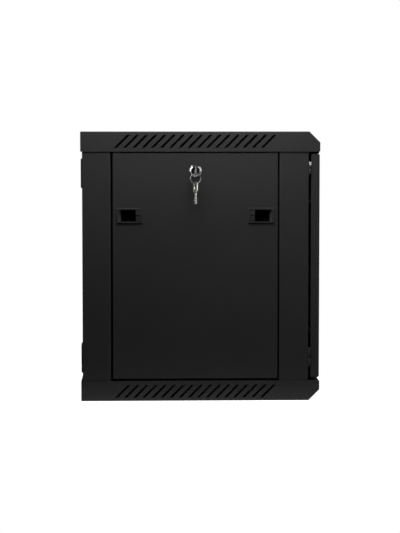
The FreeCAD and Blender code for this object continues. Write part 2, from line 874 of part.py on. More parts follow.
def latch_slider():
    """Thumb block with its hollowed finger face, and the tongue behind the housing's floor."""
    start = thumb_start()
    window = latch_window() - fit_gap
    thumb = latch_block((start, start + thumb_length), (latch_running_gap - latch_plate, scoop_depth - fit_gap),
                        (-window, window))
    hollow_radius = scoop_depth
    hollow_centre = start - hollow_radius + thumb_hollow
    hollow = cylinder(hollow_radius, at_rear_latch(hollow_centre, scoop_depth / 3, -window - 1),
                      at_rear_latch(hollow_centre, scoop_depth / 3, window + 1))
    slit = latch_block((start + thumb_hollow, start + thumb_length - thumb_hollow / 2),
                       (-latch_plate, thumb_slit), (-thumb_slit / 2, thumb_slit / 2))
    thumb = thumb.cut([hollow, slit])
    tongue_low = panel_sheet_to_tongue()
    neck = latch_block((start + neck_side(), start + thumb_length - neck_side()),
                       (scoop_depth - fit_gap - 1, tongue_low + 1), (-neck_height / 2, neck_height / 2))
    tip = tongue_set_back - latch_from_edge
    tongue = latch_block((tip, start + thumb_length - neck_side()), (tongue_low, tongue_low + tongue_sheet),
                         (-tongue_height / 2, tongue_height / 2))
    return fuse_all([thumb, neck, tongue])


def mirror_latch(shape):
    """Front latch from the rear one, across the middle of the panel."""
    return shape.mirror(vector(0, -panel_middle, 0), vector(0, 1, 0))


def side_panel():
    """Left panel: a pan with folded edges, returns, and openings for its lock and latches."""
    depths = (panel_start, panel_end)
    pan = side_block((0, panel_fold), depths, (panel_bottom, panel_top))
    edges = face_edges(pan, lambda c: c.x < panel_fold - 1 - side_plane)
    pan = pan.makeFillet(panel_edge_radius, edges)
    inner = (depths[0] + panel_sheet, depths[1] - panel_sheet)
    levels = (panel_bottom + panel_sheet, panel_top - panel_sheet)
    hollow = side_block((panel_sheet, panel_fold - panel_sheet), inner, levels)
    mouth = side_block((panel_sheet, panel_fold + 1), (inner[0] + panel_return, inner[1] - panel_return),
                       (levels[0] + panel_return, levels[1] - panel_return))
    bore = lock_hole(barrel_clearance)
    bore.translate(vector(-side_plane, -panel_middle, side_lock_level))
    window = latch_window() + latch_wall + fit_gap / 2
    opening = latch_block((latch_outer_border - latch_wall - fit_gap / 2,
                           latch_length - latch_inner_border + latch_wall + fit_gap / 2),
                          (-1, panel_sheet + 1), (-window, window))
    tongue = tongue_window(panel_start - 1, panel_start + panel_sheet + 1)
    return pan.cut([hollow, mouth, bore, opening, mirror_latch(opening), tongue, mirror_latch(tongue)])


# Locks, drawn about the origin with their outside towards -x, then placed

def lock_body():
    rim = cylinder(bezel_radius, vector(-bezel_height, 0, 0), vector(0, 0, 0))
    front = face_edges(rim, lambda c: c.x < 0.01 - bezel_height)
    rim = rim.makeChamfer(bezel_bevel, front)
    barrel = cylinder(barrel_radius, vector(0, 0, 0), vector(barrel_length, 0, 0))
    flats = Part.makeBox(barrel_length, 2 * barrel_flat, 4 * barrel_radius,
                         vector(0, -barrel_flat, -2 * barrel_radius))
    face_radius = bezel_radius - bezel_rim
    face_back = plug_recess + plug_face_thickness - bezel_height
    dish = cylinder(face_radius, vector(-bezel_height - 1, 0, 0), vector(face_back + plug_clearance, 0, 0))
    bore = cylinder(plug_radius + plug_clearance, vector(-bezel_height, 0, 0), vector(barrel_length + 1, 0, 0))
    return rim.fuse(barrel.common(flats)).removeSplitter().cut([dish, bore])


def lock_nut(sheet):
    nut = hexagon(lock_nut_across_flats, lock_nut_height, vector(sheet, 0, 0), vector(1, 0, 0))
    return nut.cut(cylinder(barrel_radius, vector(-lock_cutter_reach, 0, 0), vector(barrel_length, 0, 0)))


def lock_plug(cam_inset):
    """Turning plug with its key slot and the square end that carries the cam."""
    face_radius = bezel_radius - bezel_rim - plug_clearance
    face_start = plug_recess - bezel_height
    face = cylinder(face_radius, vector(face_start, 0, 0), vector(face_start + plug_face_thickness, 0, 0))
    stem = cylinder(plug_radius, vector(face_start, 0, 0), vector(cam_inset - fit_gap, 0, 0))
    end = Part.makeBox(cam_sheet + fit_gap, cam_square, cam_square,
                       vector(cam_inset - fit_gap, -cam_square / 2, -cam_square / 2))
    plug = fuse_all([face, stem, end])
    slot_width = key_sheet + 2 * key_slot_clearance
    slot_height = key_blade_width + 2 * key_slot_clearance
    slot_end = face_start + key_blade_length - key_blade_shown + key_slot_clearance
    slot = Part.makeBox(slot_end - face_start + 1, slot_width, slot_height,
                        vector(face_start - 1, -slot_width / 2, -slot_height / 2))
    tap = cylinder(cam_screw_radius, vector(cam_inset + cam_sheet - cam_screw_length, 0, 0),
                   vector(cam_inset + cam_sheet + 1, 0, 0))
    return plug.cut([slot, tap])


def lock_cam(cam_inset):
    """Flat cam pointing along +y, with the square hole that the plug turns it by."""
    tip = cam_reach - cam_width / 2
    eye = cylinder(cam_width / 2 + 1, vector(cam_inset, 0, 0), vector(cam_inset + cam_sheet, 0, 0))
    nose = cylinder(cam_width / 2, vector(cam_inset, tip, 0), vector(cam_inset + cam_sheet, tip, 0))
    arm = Part.makeBox(cam_sheet, tip, cam_width, vector(cam_inset, 0, -cam_width / 2))
    half = cam_square / 2 + plug_clearance
    hole = Part.makeBox(cam_sheet + 2, 2 * half, 2 * half, vector(cam_inset - 1, -half, -half))
    return fuse_all([eye, nose, arm]).cut(hole)


def cam_screw(cam_inset):
    base = vector(cam_inset + cam_sheet, 0, 0)
    tip = vector(cam_inset + cam_sheet - cam_screw_length, 0, 0)
    return round_screw(cam_screw_radius, cam_screw_head, cam_screw_head_height, base, tip)


def at_side_lock(shape):
    moved = shape.copy()
    moved.translate(vector(-side_plane, -panel_middle, side_lock_level))
    return moved


def at_door_lock(shape, turn):
    """Turn a lock piece about its own axis, face it forwards and set it in the door."""
    moved = shape.copy()
    moved.rotate(vector(0, 0, 0), vector(1, 0, 0), turn)
    moved.rotate(vector(0, 0, 0), vector(0, 0, 1), 90)
    moved.translate(vector(side_plane - door_lock_inset, -door_end, 0))
    return moved


# Keys, drawn with the bow's outer end at the origin and the blade along +x

def key():
    bow = rounded_prism(bow_length, bow_width, key_sheet, bow_corner)
    hole_length = bow_length - 2 * bow_rim
    hole = rounded_prism(hole_length, bow_hole_width, key_sheet + 2, bow_hole_width / 2 - 0.05)
    hole.translate(vector(0, 0, -1))
    bow = bow.cut(hole)
    blade = Part.makeBox(key_blade_length + 1, key_blade_width, key_sheet,
                         vector(bow_length / 2 - 1, -key_blade_width / 2, 0))
    flat = bow.fuse(blade).removeSplitter()
    flat.translate(vector(bow_length / 2, 0, -key_sheet / 2))
    flat.rotate(vector(0, 0, 0), vector(1, 0, 0), 90)
    return flat


def key_reach():
    """Distance of the inserted key's outer end from the panel's outer face."""
    return bezel_height - plug_recess + key_blade_shown + bow_length


def inserted_key():
    placed = key()
    placed.translate(vector(-key_reach(), 0, 0))
    return at_side_lock(placed)


def ring_top_level():
    """Height of the ring's top wire centre, resting in the inserted key's bow."""
    return side_lock_level - bow_hole_width / 2 + ring_wire_radius + ring_clearance


def ring_x():
    return -side_plane - key_reach() + bow_length / 2


def key_ring():
    """Ring of flattened wire: an octagonal section turned about the ring's axis."""
    centre = vector(ring_x(), -panel_middle, ring_top_level() - ring_radius)
    corner = ring_wire_radius / math.cos(math.pi / 8)
    section = [centre.add(vector(corner * math.cos(math.pi * (2 * k + 1) / 8), 0,
                                 ring_radius + corner * math.sin(math.pi * (2 * k + 1) / 8)))
               for k in range(9)]
    return Part.Face(Part.makePolygon(section)).revolve(centre, vector(1, 0, 0), 360)


def spare_key():
    """Second key, hanging blade down from the ring, turned a little about the vertical."""
    hanging = key()
    hanging.rotate(vector(0, 0, 0), vector(0, 1, 0), 90)
    hanging.rotate(vector(0, 0, 0), vector(0, 0, 1), spare_key_turn)
    wire_level = ring_top_level() - 2 * ring_radius
    top = wire_level + ring_wire_radius + ring_clearance + bow_rim
    hanging.translate(vector(ring_x(), -panel_middle, top))
    return hanging


# Door

def door_frame():
    """Door pan with rounded front edges, back returns, window, lock hole and hinge notches."""
    pan = block((-side_plane, side_plane), (door_start, door_end), (door_bottom, door_top))
    edges = face_edges(pan, lambda c: c.y < -door_start - 1)
    pan = pan.makeFillet(door_edge_radius, edges)
    inner = side_plane - panel_sheet
    cavity = block((-inner, inner), (door_start + panel_sheet, door_end - panel_sheet),
                   (door_bottom + panel_sheet, door_top - panel_sheet))
    edges = face_edges(cavity, lambda c: c.y < -door_start - panel_sheet - 1)
    cavity = cavity.makeFillet(door_edge_radius - panel_sheet, edges)
    mouth = block((door_return - inner, inner - door_return), (door_start - 1, door_start + panel_sheet + 1),
                  (door_bottom + panel_sheet + door_return, door_top - panel_sheet - door_return))
    window = rounded_prism(2 * (side_plane - door_side_border), door_top - door_bottom - 2 * door_top_border,
                           panel_sheet + 2, door_window_corner)
    window.rotate(vector(0, 0, 0), vector(1, 0, 0), 90)
    window.translate(vector(0, 1 + panel_sheet - door_end, (door_top + door_bottom) / 2))
    lock = at_door_lock(lock_hole(barrel_clearance), 90)
    cutters = [cavity, mouth, window, lock]
    for hinge in hinges():
        cutters.append(hinge_notch(hinge))
        for level in hinge_screw_levels(hinge):
            cutters.append(hinge_screw_bore(level, door_start - 1, door_start + panel_sheet + 1))
    return pan.cut(cutters)


def door_sheet_behind_window(thickness, overlap, start):
    """Flat sheet behind the door's window, larger than it by the overlap."""
    reach = side_plane - door_side_border + overlap
    return block((-reach, reach), (start, start + thickness),
                 (door_bottom + door_top_border - overlap, door_top - door_top_border + overlap))


def door_glass():
    return door_sheet_behind_window(glass_thickness, glass_overlap,
                                    door_end - panel_sheet - tape_thickness - glass_thickness)


def glass_tape():
    """Bonding tape round the edge of the glass, between it and the door's skin."""
    start = door_end - panel_sheet - tape_thickness
    outer = door_sheet_behind_window(tape_thickness, glass_overlap, start)
    inner = door_sheet_behind_window(tape_thickness, glass_overlap - tape_width, start)
    return outer.cut(inner)


# Hinges

def hinge_screw_levels(hinge):
    foot, joint, top, head = hinge
    third = (top - foot) / 3
    return (foot + third / 2, top - third / 2)


def hinge_screw_x():
    return (hinge_leaf_reach + hinge_knuckle_radius) / 2 + hinge_inset - side_plane


def hinge_screw_bore(level, depth_low, depth_high):
    x = hinge_screw_x()
    return cylinder(hinge_screw_radius, vector(x, -depth_low, level), vector(x, -depth_high, level))


def countersink(level, open_depth, seat_depth):
    """Cone of a flat screw head, from its open face down to the leaf's seat."""
    wide = vector(hinge_screw_x(), -open_depth, level)
    narrow = vector(hinge_screw_x(), -seat_depth, level)
    return Part.makeCone(hinge_screw_head, hinge_screw_radius, hinge_leaf, wide, narrow.sub(wide))


def hinge_leaf_plate(hinge, open_depth, seat_depth, low, high):
    """Leaf with the tongue that joins it to its knuckle between two heights."""
    foot, joint, top, head = hinge
    clear = hinge_inset + hinge_knuckle_radius + hinge_notch_gap
    depths = (min(open_depth, seat_depth), max(open_depth, seat_depth))
    leaf = side_block((clear, hinge_leaf_reach), depths, (foot, top))
    tongue = side_block((hinge_inset, clear), depths, (low, high))
    knuckle = cylinder(hinge_knuckle_radius, hinge_axis_point(low), hinge_axis_point(high))
    bore = cylinder(hinge_pin_radius + hinge_pin_clearance, hinge_axis_point(foot - 1), hinge_axis_point(top + 1))
    sinks = [countersink(level, open_depth, seat_depth) for level in hinge_screw_levels(hinge)]
    return fuse_all([leaf, tongue, knuckle]).cut([bore] + sinks)


def frame_hinge(hinge):
    foot, joint, top, head = hinge
    return hinge_leaf_plate(hinge, front_post_depth + hinge_leaf, front_post_depth, foot,
                            joint - hinge_knuckle_gap / 2)


def door_hinge(hinge):
    foot, joint, top, head = hinge
    return hinge_leaf_plate(hinge, door_start - hinge_leaf, door_start, joint + hinge_knuckle_gap / 2, top)


def hinge_pin(hinge):
    """Pin of a hinge; the upper one has the tall head that it is drawn out by."""
    foot, joint, top, head = hinge
    shank = cylinder(hinge_pin_radius, hinge_axis_point(foot), hinge_axis_point(top))
    if not head:
        return shank
    knob = cylinder(hinge_head_radius, hinge_axis_point(top), hinge_axis_point(top + head))
    crown = face_edges(knob, lambda c: c.z > top + head - 0.01)
    return shank.fuse(knob.makeChamfer(hinge_head_bevel, crown)).removeSplitter()


def hinge_screws(on_frame):
    """Countersunk screws of both hinges, flush with their leaves."""
    screws = []
    seat = front_post_depth if on_frame else door_start
    flush = front_post_depth + hinge_leaf if on_frame else door_start - hinge_leaf
    tip = front_post_depth - post_sheet if on_frame else door_start + panel_sheet
    for hinge in hinges():
        for level in hinge_screw_levels(hinge):
            shank = cylinder(hinge_screw_radius, vector(hinge_screw_x(), -seat, level),
                             vector(hinge_screw_x(), -tip, level))
            screws.append(countersink(level, flush, seat).fuse(shank).removeSplitter())
    return Part.makeCompound(screws)


# Small hardware

def door_bumpers():
    """Soft stops on the front posts that the closed door meets."""
    stops = []
    for side in (-1, 1):
        for level in (door_bottom + bumper_from_end, door_top - bumper_from_end):
            start = vector(side * (side_plane - bumper_inset), -front_post_depth, level)
            end = start.add(vector(0, front_post_depth - door_start + bumper_gap, 0))
            stop = cylinder(bumper_radius, start, end)
            rim = face_edges(stop, lambda c: c.y < end.y + 0.01)
            stops.append(stop.makeChamfer(bumper_bevel, rim))
    return Part.makeCompound(stops)


def earth_stud():
    base = vector(stud_from_side - side_plane, -stud_depth, -plate_level)
    flange = cylinder(2 * stud_radius, base, base.add(vector(0, 0, 1)))
    return flange.fuse(cylinder(stud_radius, base, base.add(vector(0, 0, stud_height)))).removeSplitter()


def earth_nuts():
    nuts = []
    base = vector(stud_from_side - side_plane, -stud_depth, -plate_level + 1)
    for k in range(2):
        start = base.add(vector(0, 0, k * (nut_height + fit_gap)))
        nut = hexagon(nut_across_flats, nut_height, start, vector(0, 0, 1))
        nuts.append(nut.cut(cylinder(stud_radius, start, start.add(vector(0, 0, nut_height + 1)))))
    return Part.makeCompound(nuts)


def save_frame():
    save("top_cover", cover(True, 1))
    save("bottom_cover", mirror_level(cover(False, -1)))
    for name, shape in (("rear_post", rear_post()), ("front_post", front_post())):
        save("left_" + name, shape)
        save("right_" + name, mirror_side(shape))
    save("back_panel", back_panel())
    save("rear_entry_trim", rear_entry_trim())
    save("back_panel_screws", back_screws())
    save("frame_screws", frame_screws())
    upper = brace()
    save("left_upper_brace", upper)
    save("right_upper_brace", mirror_side(upper))
    save("left_lower_brace", mirror_level(upper))
    save("right_lower_brace", mirror_side(mirror_level(upper)))
    for name, front in (("front_rail", True), ("rear_rail", False)):
        save("left_" + name, rail(front))
        save("right_" + name, mirror_side(rail(front)))
    save("rail_bolts", rail_bolts())
    save("rail_nuts", rail_nuts())
    save("earth_stud", earth_stud())
    save("earth_nuts", earth_nuts())
    save("door_bumpers", door_bumpers())


def save_side_panels():
    housing = latch_housing()
    slider = latch_slider()
    pieces = {
        "side_panel": side_panel(),
        "rear_latch_housing": housing,
        "front_latch_housing": mirror_latch(housing),
        "rear_latch_slider": slider,
        "front_latch_slider": mirror_latch(slider),
        "lock_body": at_side_lock(lock_body()),
        "lock_nut": at_side_lock(lock_nut(panel_sheet)),
        "lock_plug": at_side_lock(lock_plug(side_cam_inset)),
        "lock_cam": at_side_lock(lock_cam(side_cam_inset)),
        "lock_cam_screw": at_side_lock(cam_screw(side_cam_inset)),
    }
    for name, shape in pieces.items():
        save("left_" + name, shape)
        save("right_" + name, mirror_side(shape))
    save("inserted_key", inserted_key())
    save("key_ring", key_ring())
    save("spare_key", spare_key())


def save_door():
    save("door_frame", door_frame())
    save("door_glass", door_glass())
    save("glass_tape", glass_tape())
    save("door_lock_body", at_door_lock(lock_body(), 90))
    save("door_lock_nut", at_door_lock(lock_nut(panel_sheet), 90))
    save("door_lock_plug", at_door_lock(lock_plug(door_cam_inset), 90))
    save("door_lock_cam", at_door_lock(lock_cam(door_cam_inset), 90))
    save("door_lock_cam_screw", at_door_lock(cam_screw(door_cam_inset), 90))
    save("hinge_frame_leaves", Part.makeCompound([frame_hinge(hinge) for hinge in hinges()]))
    save("hinge_door_leaves", Part.makeCompound([door_hinge(hinge) for hinge in hinges()]))
    save("hinge_pins", Part.makeCompound([hinge_pin(hinge) for hinge in hinges()]))
    save("hinge_frame_screws", hinge_screws(True))
    save("hinge_door_screws", hinge_screws(False))


save_frame()
save_side_panels()
save_door()
os.makedirs("parts", exist_ok=True)
for node, shape in parts.items():
    shape.exportStep("parts/" + node + ".step")
print(len(parts), "nodes")
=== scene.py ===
import bmesh
import bpy
import json
import math
from mathutils import Matrix, Vector

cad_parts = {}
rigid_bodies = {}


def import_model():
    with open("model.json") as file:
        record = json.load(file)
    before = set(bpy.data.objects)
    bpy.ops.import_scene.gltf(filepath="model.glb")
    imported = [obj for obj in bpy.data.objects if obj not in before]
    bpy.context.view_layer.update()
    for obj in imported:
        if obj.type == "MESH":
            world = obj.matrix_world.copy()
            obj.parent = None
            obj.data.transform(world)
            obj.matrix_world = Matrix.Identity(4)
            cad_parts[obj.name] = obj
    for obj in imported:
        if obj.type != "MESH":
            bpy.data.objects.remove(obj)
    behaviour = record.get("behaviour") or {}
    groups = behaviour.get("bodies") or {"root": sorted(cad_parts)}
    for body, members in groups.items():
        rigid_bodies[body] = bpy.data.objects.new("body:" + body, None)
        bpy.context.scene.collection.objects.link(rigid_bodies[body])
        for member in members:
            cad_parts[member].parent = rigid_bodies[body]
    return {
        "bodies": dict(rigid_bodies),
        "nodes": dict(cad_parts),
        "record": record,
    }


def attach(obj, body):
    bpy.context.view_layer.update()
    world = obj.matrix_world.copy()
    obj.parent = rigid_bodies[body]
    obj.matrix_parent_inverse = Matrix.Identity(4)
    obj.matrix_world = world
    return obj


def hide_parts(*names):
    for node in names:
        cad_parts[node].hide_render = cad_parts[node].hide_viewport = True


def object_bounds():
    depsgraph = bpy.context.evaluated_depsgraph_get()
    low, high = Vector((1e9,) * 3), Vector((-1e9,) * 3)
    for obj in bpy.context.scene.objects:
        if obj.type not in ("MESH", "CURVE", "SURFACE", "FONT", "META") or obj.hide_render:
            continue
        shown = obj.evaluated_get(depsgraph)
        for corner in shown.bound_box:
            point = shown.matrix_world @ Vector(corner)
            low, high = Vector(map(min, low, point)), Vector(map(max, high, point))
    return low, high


# Wall mount network cabinet: its finishes, its small pieces in full detail, and the stage around it.

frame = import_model()
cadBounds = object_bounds()
scene = bpy.context.scene
print("frame loaded,", len(frame["nodes"]), "nodes")


class Signal:
    # one output of a node; arithmetic on it adds Math nodes
    def __init__(self, finish, socket):
        self.finish = finish
        self.socket = socket

    def maths(self, operation, first, second):
        return self.finish.node("ShaderNodeMath", {"operation": operation}, {0: first, 1: second})

    def __add__(self, other):
        return self.maths("ADD", self, other)

    __radd__ = __add__

    def __mul__(self, other):
        return self.maths("MULTIPLY", self, other)


class Finish:
    # a material with one Principled shader, built node by node
    def __init__(self, name):
        self.material = bpy.data.materials.new(name)
        self.material.use_nodes = True
        self.tree = self.material.node_tree
        self.tree.nodes.clear()
        output = self.tree.nodes.new("ShaderNodeOutputMaterial")
        self.shader = self.tree.nodes.new("ShaderNodeBsdfPrincipled")
        self.tree.links.new(self.shader.outputs[0], output.inputs[0])
        self.place = self.node("ShaderNodeTexCoord", {}, {}, "Object")

    def feed(self, socket, value):
        if isinstance(value, Signal):
            self.tree.links.new(value.socket, socket)
        else:
            socket.default_value = value

    def node(self, kind, settings, inputs, output=0):
        made = self.tree.nodes.new(kind)
        for key, value in settings.items():
            setattr(made, key, value)
        for key, value in inputs.items():
            self.feed(made.inputs[key], value)
        return Signal(self, made.outputs[output])

    def set(self, **values):
        for key, value in values.items():
            self.feed(self.shader.inputs[key.replace("_", " ")], value)
        return self

    def noise(self, scale, detail):
        return self.node("ShaderNodeTexNoise", {}, {"Vector": self.place, "Scale": scale, "Detail": detail})

    def ramp(self, value, low, high, start=0.0, end=1.0):
        inputs = {"Value": value, "From Min": low, "From Max": high, "To Min": start, "To Max": end}
        return self.node("ShaderNodeMapRange", {"interpolation_type": "SMOOTHSTEP"}, inputs)

    def mixed(self, factor, first, second):
        return self.node("ShaderNodeMix", {"data_type": "RGBA"}, {"Factor": factor, 6: first, 7: second}, 2)

    def bump(self, height, distance):
        return self.node("ShaderNodeBump", {}, {"Height": height, "Distance": distance, "Strength": 1.0})


def grey(level):
    return (level, level, level, 1.0)


# Finishes

powderCoat = {"colour": 0.0125, "dusty": 0.0135, "dustScale": 9.0, "dustRange": (0.35, 0.7),
              "roughness": 0.46, "rougher": 0.08, "patchScale": 60.0, "patchRange": (0.3, 0.7), "sheen": 0.15,
              "grainScale": 1500.0, "grainHeight": 4e-5}


def makePowderCoat(name, sizes):
    finish = Finish(name)
    grain = finish.noise(sizes["grainScale"], 3.0)
    dust = finish.ramp(finish.noise(sizes["dustScale"], 4.0), *sizes["dustRange"])
    colour = finish.mixed(dust, grey(sizes["colour"]), grey(sizes["dusty"]))
    patches = finish.ramp(finish.noise(sizes["patchScale"], 5.0), *sizes["patchRange"])
    return finish.set(Base_Color=colour, Roughness=sizes["roughness"] + patches * sizes["rougher"],
                      Specular_IOR_Level=sizes["sheen"],
                      Normal=finish.bump(grain, sizes["grainHeight"])).material


metals = {
    "chrome": {"colour": (0.82, 0.83, 0.85, 1.0), "roughness": 0.08},
    "zinc": {"colour": (0.55, 0.56, 0.56, 1.0), "roughness": 0.36},
    "nickel": {"colour": (0.78, 0.77, 0.74, 1.0), "roughness": 0.24},
    "dark": {"colour": (0.06, 0.06, 0.062, 1.0), "roughness": 0.3},
}
metalWear = {"scale": 420.0, "range": (0.3, 0.75), "darker": 0.84, "rougher": 0.14, "grainScale": 2600.0,
             "grainHeight": 1.2e-5}


def makeMetal(name, sizes, wear):
    finish = Finish(name)
    worn = finish.ramp(finish.noise(wear["scale"], 5.0), *wear["range"])
    darker = tuple(wear["darker"] * part for part in sizes["colour"][:3]) + (1.0,)
    grain = finish.noise(wear["grainScale"], 2.0)
    return finish.set(Base_Color=finish.mixed(worn, sizes["colour"], darker), Metallic=1.0,
                      Roughness=sizes["roughness"] + worn * wear["rougher"],
                      Normal=finish.bump(grain, wear["grainHeight"])).material


plastics = {
    "plastic": {"colour": 0.009, "roughness": 0.42, "sheen": 0.2, "grainScale": 2400.0, "grainHeight": 2e-5},
    # painted shade: near-black and without sheen, for the latch recesses, the shadow line under the latches
    # and the slit above the door
    "paintedShade": {"colour": 0.0012, "roughness": 0.8, "sheen": 0.0, "grainScale": 2400.0, "grainHeight": 2e-5},
    "rubber": {"colour": 0.006, "roughness": 0.72, "sheen": 0.2, "grainScale": 1300.0, "grainHeight": 5e-5},
    "tape": {"colour": 0.02, "roughness": 0.8, "sheen": 0.3, "grainScale": 900.0, "grainHeight": 6e-5},
}
plasticGrain = {"cloudScale": 70.0, "lighter": 1.5, "rougher": 0.06}


def makePlastic(name, sizes, grains):
    finish = Finish(name)
    grain = finish.noise(sizes["grainScale"], 2.0)
    tone = finish.mixed(finish.noise(grains["cloudScale"], 3.0), grey(sizes["colour"]),
                        grey(sizes["colour"] * grains["lighter"]))
    return finish.set(Base_Color=tone, Roughness=sizes["roughness"] + grain * grains["rougher"],
                      Specular_IOR_Level=sizes["sheen"],
                      Normal=finish.bump(grain, sizes["grainHeight"])).material


smokedGlass = {"colour": 0.004, "smeared": 0.008, "smearScale": 26.0, "smearRange": (0.45, 0.8),
               "roughness": 0.03, "rougher": 0.05, "slantRange": (0.3, 0.8), "straight": 0.72, "grazing": 1.0}


def makeSmokedGlass(name, sizes):
    finish = Finish(name)
    smear = finish.ramp(finish.noise(sizes["smearScale"], 6.0), *sizes["smearRange"])
    slant = finish.node("ShaderNodeLayerWeight", {}, {"Blend": 0.5}, "Facing")
    alpha = finish.ramp(slant, *sizes["slantRange"], sizes["straight"], sizes["grazing"])
    return finish.set(Base_Color=finish.mixed(smear, grey(sizes["colour"]), grey(sizes["smeared"])),
                      Roughness=sizes["roughness"] + smear * sizes["rougher"], Alpha=alpha).material


finishes = {"powderCoat": makePowderCoat("powderCoat", powderCoat)}
for name in ("chrome", "zinc", "nickel"):
    finishes[name] = makeMetal(name, metals[name], metalWear)
finishes["darkMetal"] = makeMetal("darkMetal", metals["dark"], metalWear)
for name, sizes in plastics.items():
    finishes[name] = makePlastic(name, sizes, plasticGrain)
finishes["smokedGlass"] = makeSmokedGlass("smokedGlass", smokedGlass)
slotFinish = {
    "black_powder_coat": "powderCoat", "zinc_plate": "zinc", "chrome_bezel": "chrome",
    "dark_plug": "darkMetal", "nickel_key": "nickel", "smoked_glass": "smokedGlass",
    "black_plastic": "plastic", "black_rubber": "rubber", "bonding_tape": "tape",
}


def paint(piece, name):
    if piece.data.materials:  # clearing an empty list would reset which face has which finish
        piece.data.materials.clear()
    piece.data.materials.append(finishes[name])


for entry in frame["record"]["subparts"]:
    paint(frame["nodes"][entry["node"]], slotFinish[entry["material_slot"]])
print("finishes on", len(frame["nodes"]), "nodes")


# Small pieces in place of the plain ones. Their sizes are in millimetres, in each piece's own axes.

bodyOfNode = {}
for bodyName, empty in frame["bodies"].items():
    for nodeName, node in frame["nodes"].items():
        if node.parent is empty:
            bodyOfNode[nodeName] = bodyName
millimetres = Matrix.Scale(0.001, 4)


def placed(x, y, z, outward=(-1.0, 0.0, 0.0)):
    # where a piece drawn about the origin goes; its local -x points outward
    turn = Vector((-1.0, 0.0, 0.0)).rotation_difference(Vector(outward)).to_matrix().to_4x4()
    return Matrix.Translation((x / 1000.0, y / 1000.0, z / 1000.0)) @ turn @ millimetres


# points closer than this become one; the last is in millimetres, the others in metres
merging = {"piece": 2e-6, "sliver": 1e-6, "copy": 3e-6, "turned": 0.002}


def finishPiece(name, shape, node, finishName, smooth=35.0, replace=True):
    # close the mesh, paint it and let it stand for the CAD node, or sit on it
    bmesh.ops.remove_doubles(shape, verts=shape.verts, dist=merging["piece"])
    bmesh.ops.dissolve_degenerate(shape, edges=shape.edges, dist=merging["sliver"])
    bmesh.ops.recalc_face_normals(shape, faces=shape.faces)
    mesh = bpy.data.meshes.new(name)
    shape.to_mesh(mesh)
    shape.free()
    mesh.shade_smooth()
    mesh.set_sharp_from_angle(angle=math.radians(smooth))
    piece = bpy.data.objects.new(name, mesh)
    scene.collection.objects.link(piece)
    paint(piece, finishName)
    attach(piece, bodyOfNode[node])
    if replace:
        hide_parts(node)
    return piece


def addTo(shape, single, place):
    # put one turned solid in its place in a piece that holds several
    bmesh.ops.transform(single, matrix=place, verts=single.verts)
    part = bpy.data.meshes.new("part")
    single.to_mesh(part)
    single.free()
    shape.from_mesh(part)
    bpy.data.meshes.remove(part)


def rounded(shape, edges, width, segments):
    bmesh.ops.bevel(shape, geom=edges, offset=width, offset_type="OFFSET", segments=segments, profile=0.5,
                    affect="EDGES", material=-1, clamp_overlap=True)


def arc(along, radius, size, start, end, steps):
    # points of a quarter round or other arc in a turned outline; 0 degrees is outward along the radius
    angles = [math.radians(start + (end - start) * step / steps) for step in range(steps + 1)]
    return [(along + size * math.sin(angle), radius + size * math.cos(angle)) for angle in angles]


def turned(shape, outline, steps, closed=False):
    # turn an outline of (along, radius) points about the local x axis
    points = [shape.verts.new((along, 0.0, radius)) for along, radius in outline]
    loop = points + points[:1] if closed else points
    edges = [shape.edges.new(pair) for pair in zip(loop, loop[1:])]
    bmesh.ops.spin(shape, geom=points + edges, cent=(0, 0, 0), axis=(1, 0, 0), angle=math.tau, steps=steps,
                   use_merge=True)
    bmesh.ops.remove_doubles(shape, verts=shape.verts, dist=merging["turned"])


def threads(start, end, crest, root, pitch):
    # ridges of a screw thread along an outline, each with a narrow flat on its crest
    outline = []
    along = start
    while along + pitch <= end:
        outline += [(along, root), (along + 0.4 * pitch, crest), (along + 0.6 * pitch, crest),
                    (along + pitch, root)]
        along += pitch
    return outline + [(end, root)]


# Locks: a turned bezel in one piece with its threaded barrel. Along is measured from the panel's face,
# inward positive.

bezelSizes = {"radius": 11.75, "flange": 1.1, "flangeInner": 10.5, "flangeEdge": 0.4,
              "cone": ((-1.2, 10.35), (-1.3, 10.25), (-2.05, 9.55), (-2.7, 8.95)),
              "height": 3.0, "crown": 8.75, "crownEdge": 0.25, "face": 8.15, "faceBack": -0.34,
              "bore": 6.06, "barrel": 9.5, "root": 9.1, "plain": 1.8, "flat": 8.0, "length": 17.0,
              "pitch": 1.0, "steps": 72}
locks = {
    "left_lock": {"node": "left_lock_body", "place": (-298.5, -212.15, 177.2), "outward": (-1.0, 0.0, 0.0)},
    "right_lock": {"node": "right_lock_body", "place": (298.5, -212.15, 177.2), "outward": (1.0, 0.0, 0.0)},
    "door_lock": {"node": "door_lock_body", "place": (268.5, -442.5, 0.0), "outward": (0.0, -1.0, 0.0)},
}


def makeBezel(name, sizes, lock):
    shape = bmesh.new()
    flange, height, plain = sizes["flange"], sizes["height"], sizes["plain"]
    flangeEdge, crownEdge = sizes["flangeEdge"], sizes["crownEdge"]
    outline = [(0.0, sizes["radius"])]
    outline += arc(flangeEdge - flange, sizes["radius"] - flangeEdge, flangeEdge, 0, -90, 4)
    outline += [(-flange, sizes["flangeInner"])] + list(sizes["cone"])
    outline += arc(crownEdge - height, sizes["crown"] - crownEdge, crownEdge, -50, -130, 4)
    outline += [(crownEdge - height, sizes["face"]), (sizes["faceBack"], sizes["face"]),
                (sizes["faceBack"], sizes["bore"])]
    outline += [(sizes["length"], sizes["bore"]), (sizes["length"], sizes["root"])]
    outline += reversed(threads(plain + 0.2, sizes["length"] - 0.5, sizes["barrel"], sizes["root"],
                                sizes["pitch"]))
    outline += [(plain, sizes["barrel"]), (0.0, sizes["barrel"])]
    turned(shape, outline, sizes["steps"], closed=True)
    for vert in shape.verts:
        if vert.co.x > 0.01:  # the barrel behind the flange has two flats
            vert.co.y = max(-sizes["flat"], min(sizes["flat"], vert.co.y))
    bmesh.ops.transform(shape, matrix=placed(*lock["place"], lock["outward"]), verts=shape.verts)
    return finishPiece(name, shape, lock["node"], "chrome")


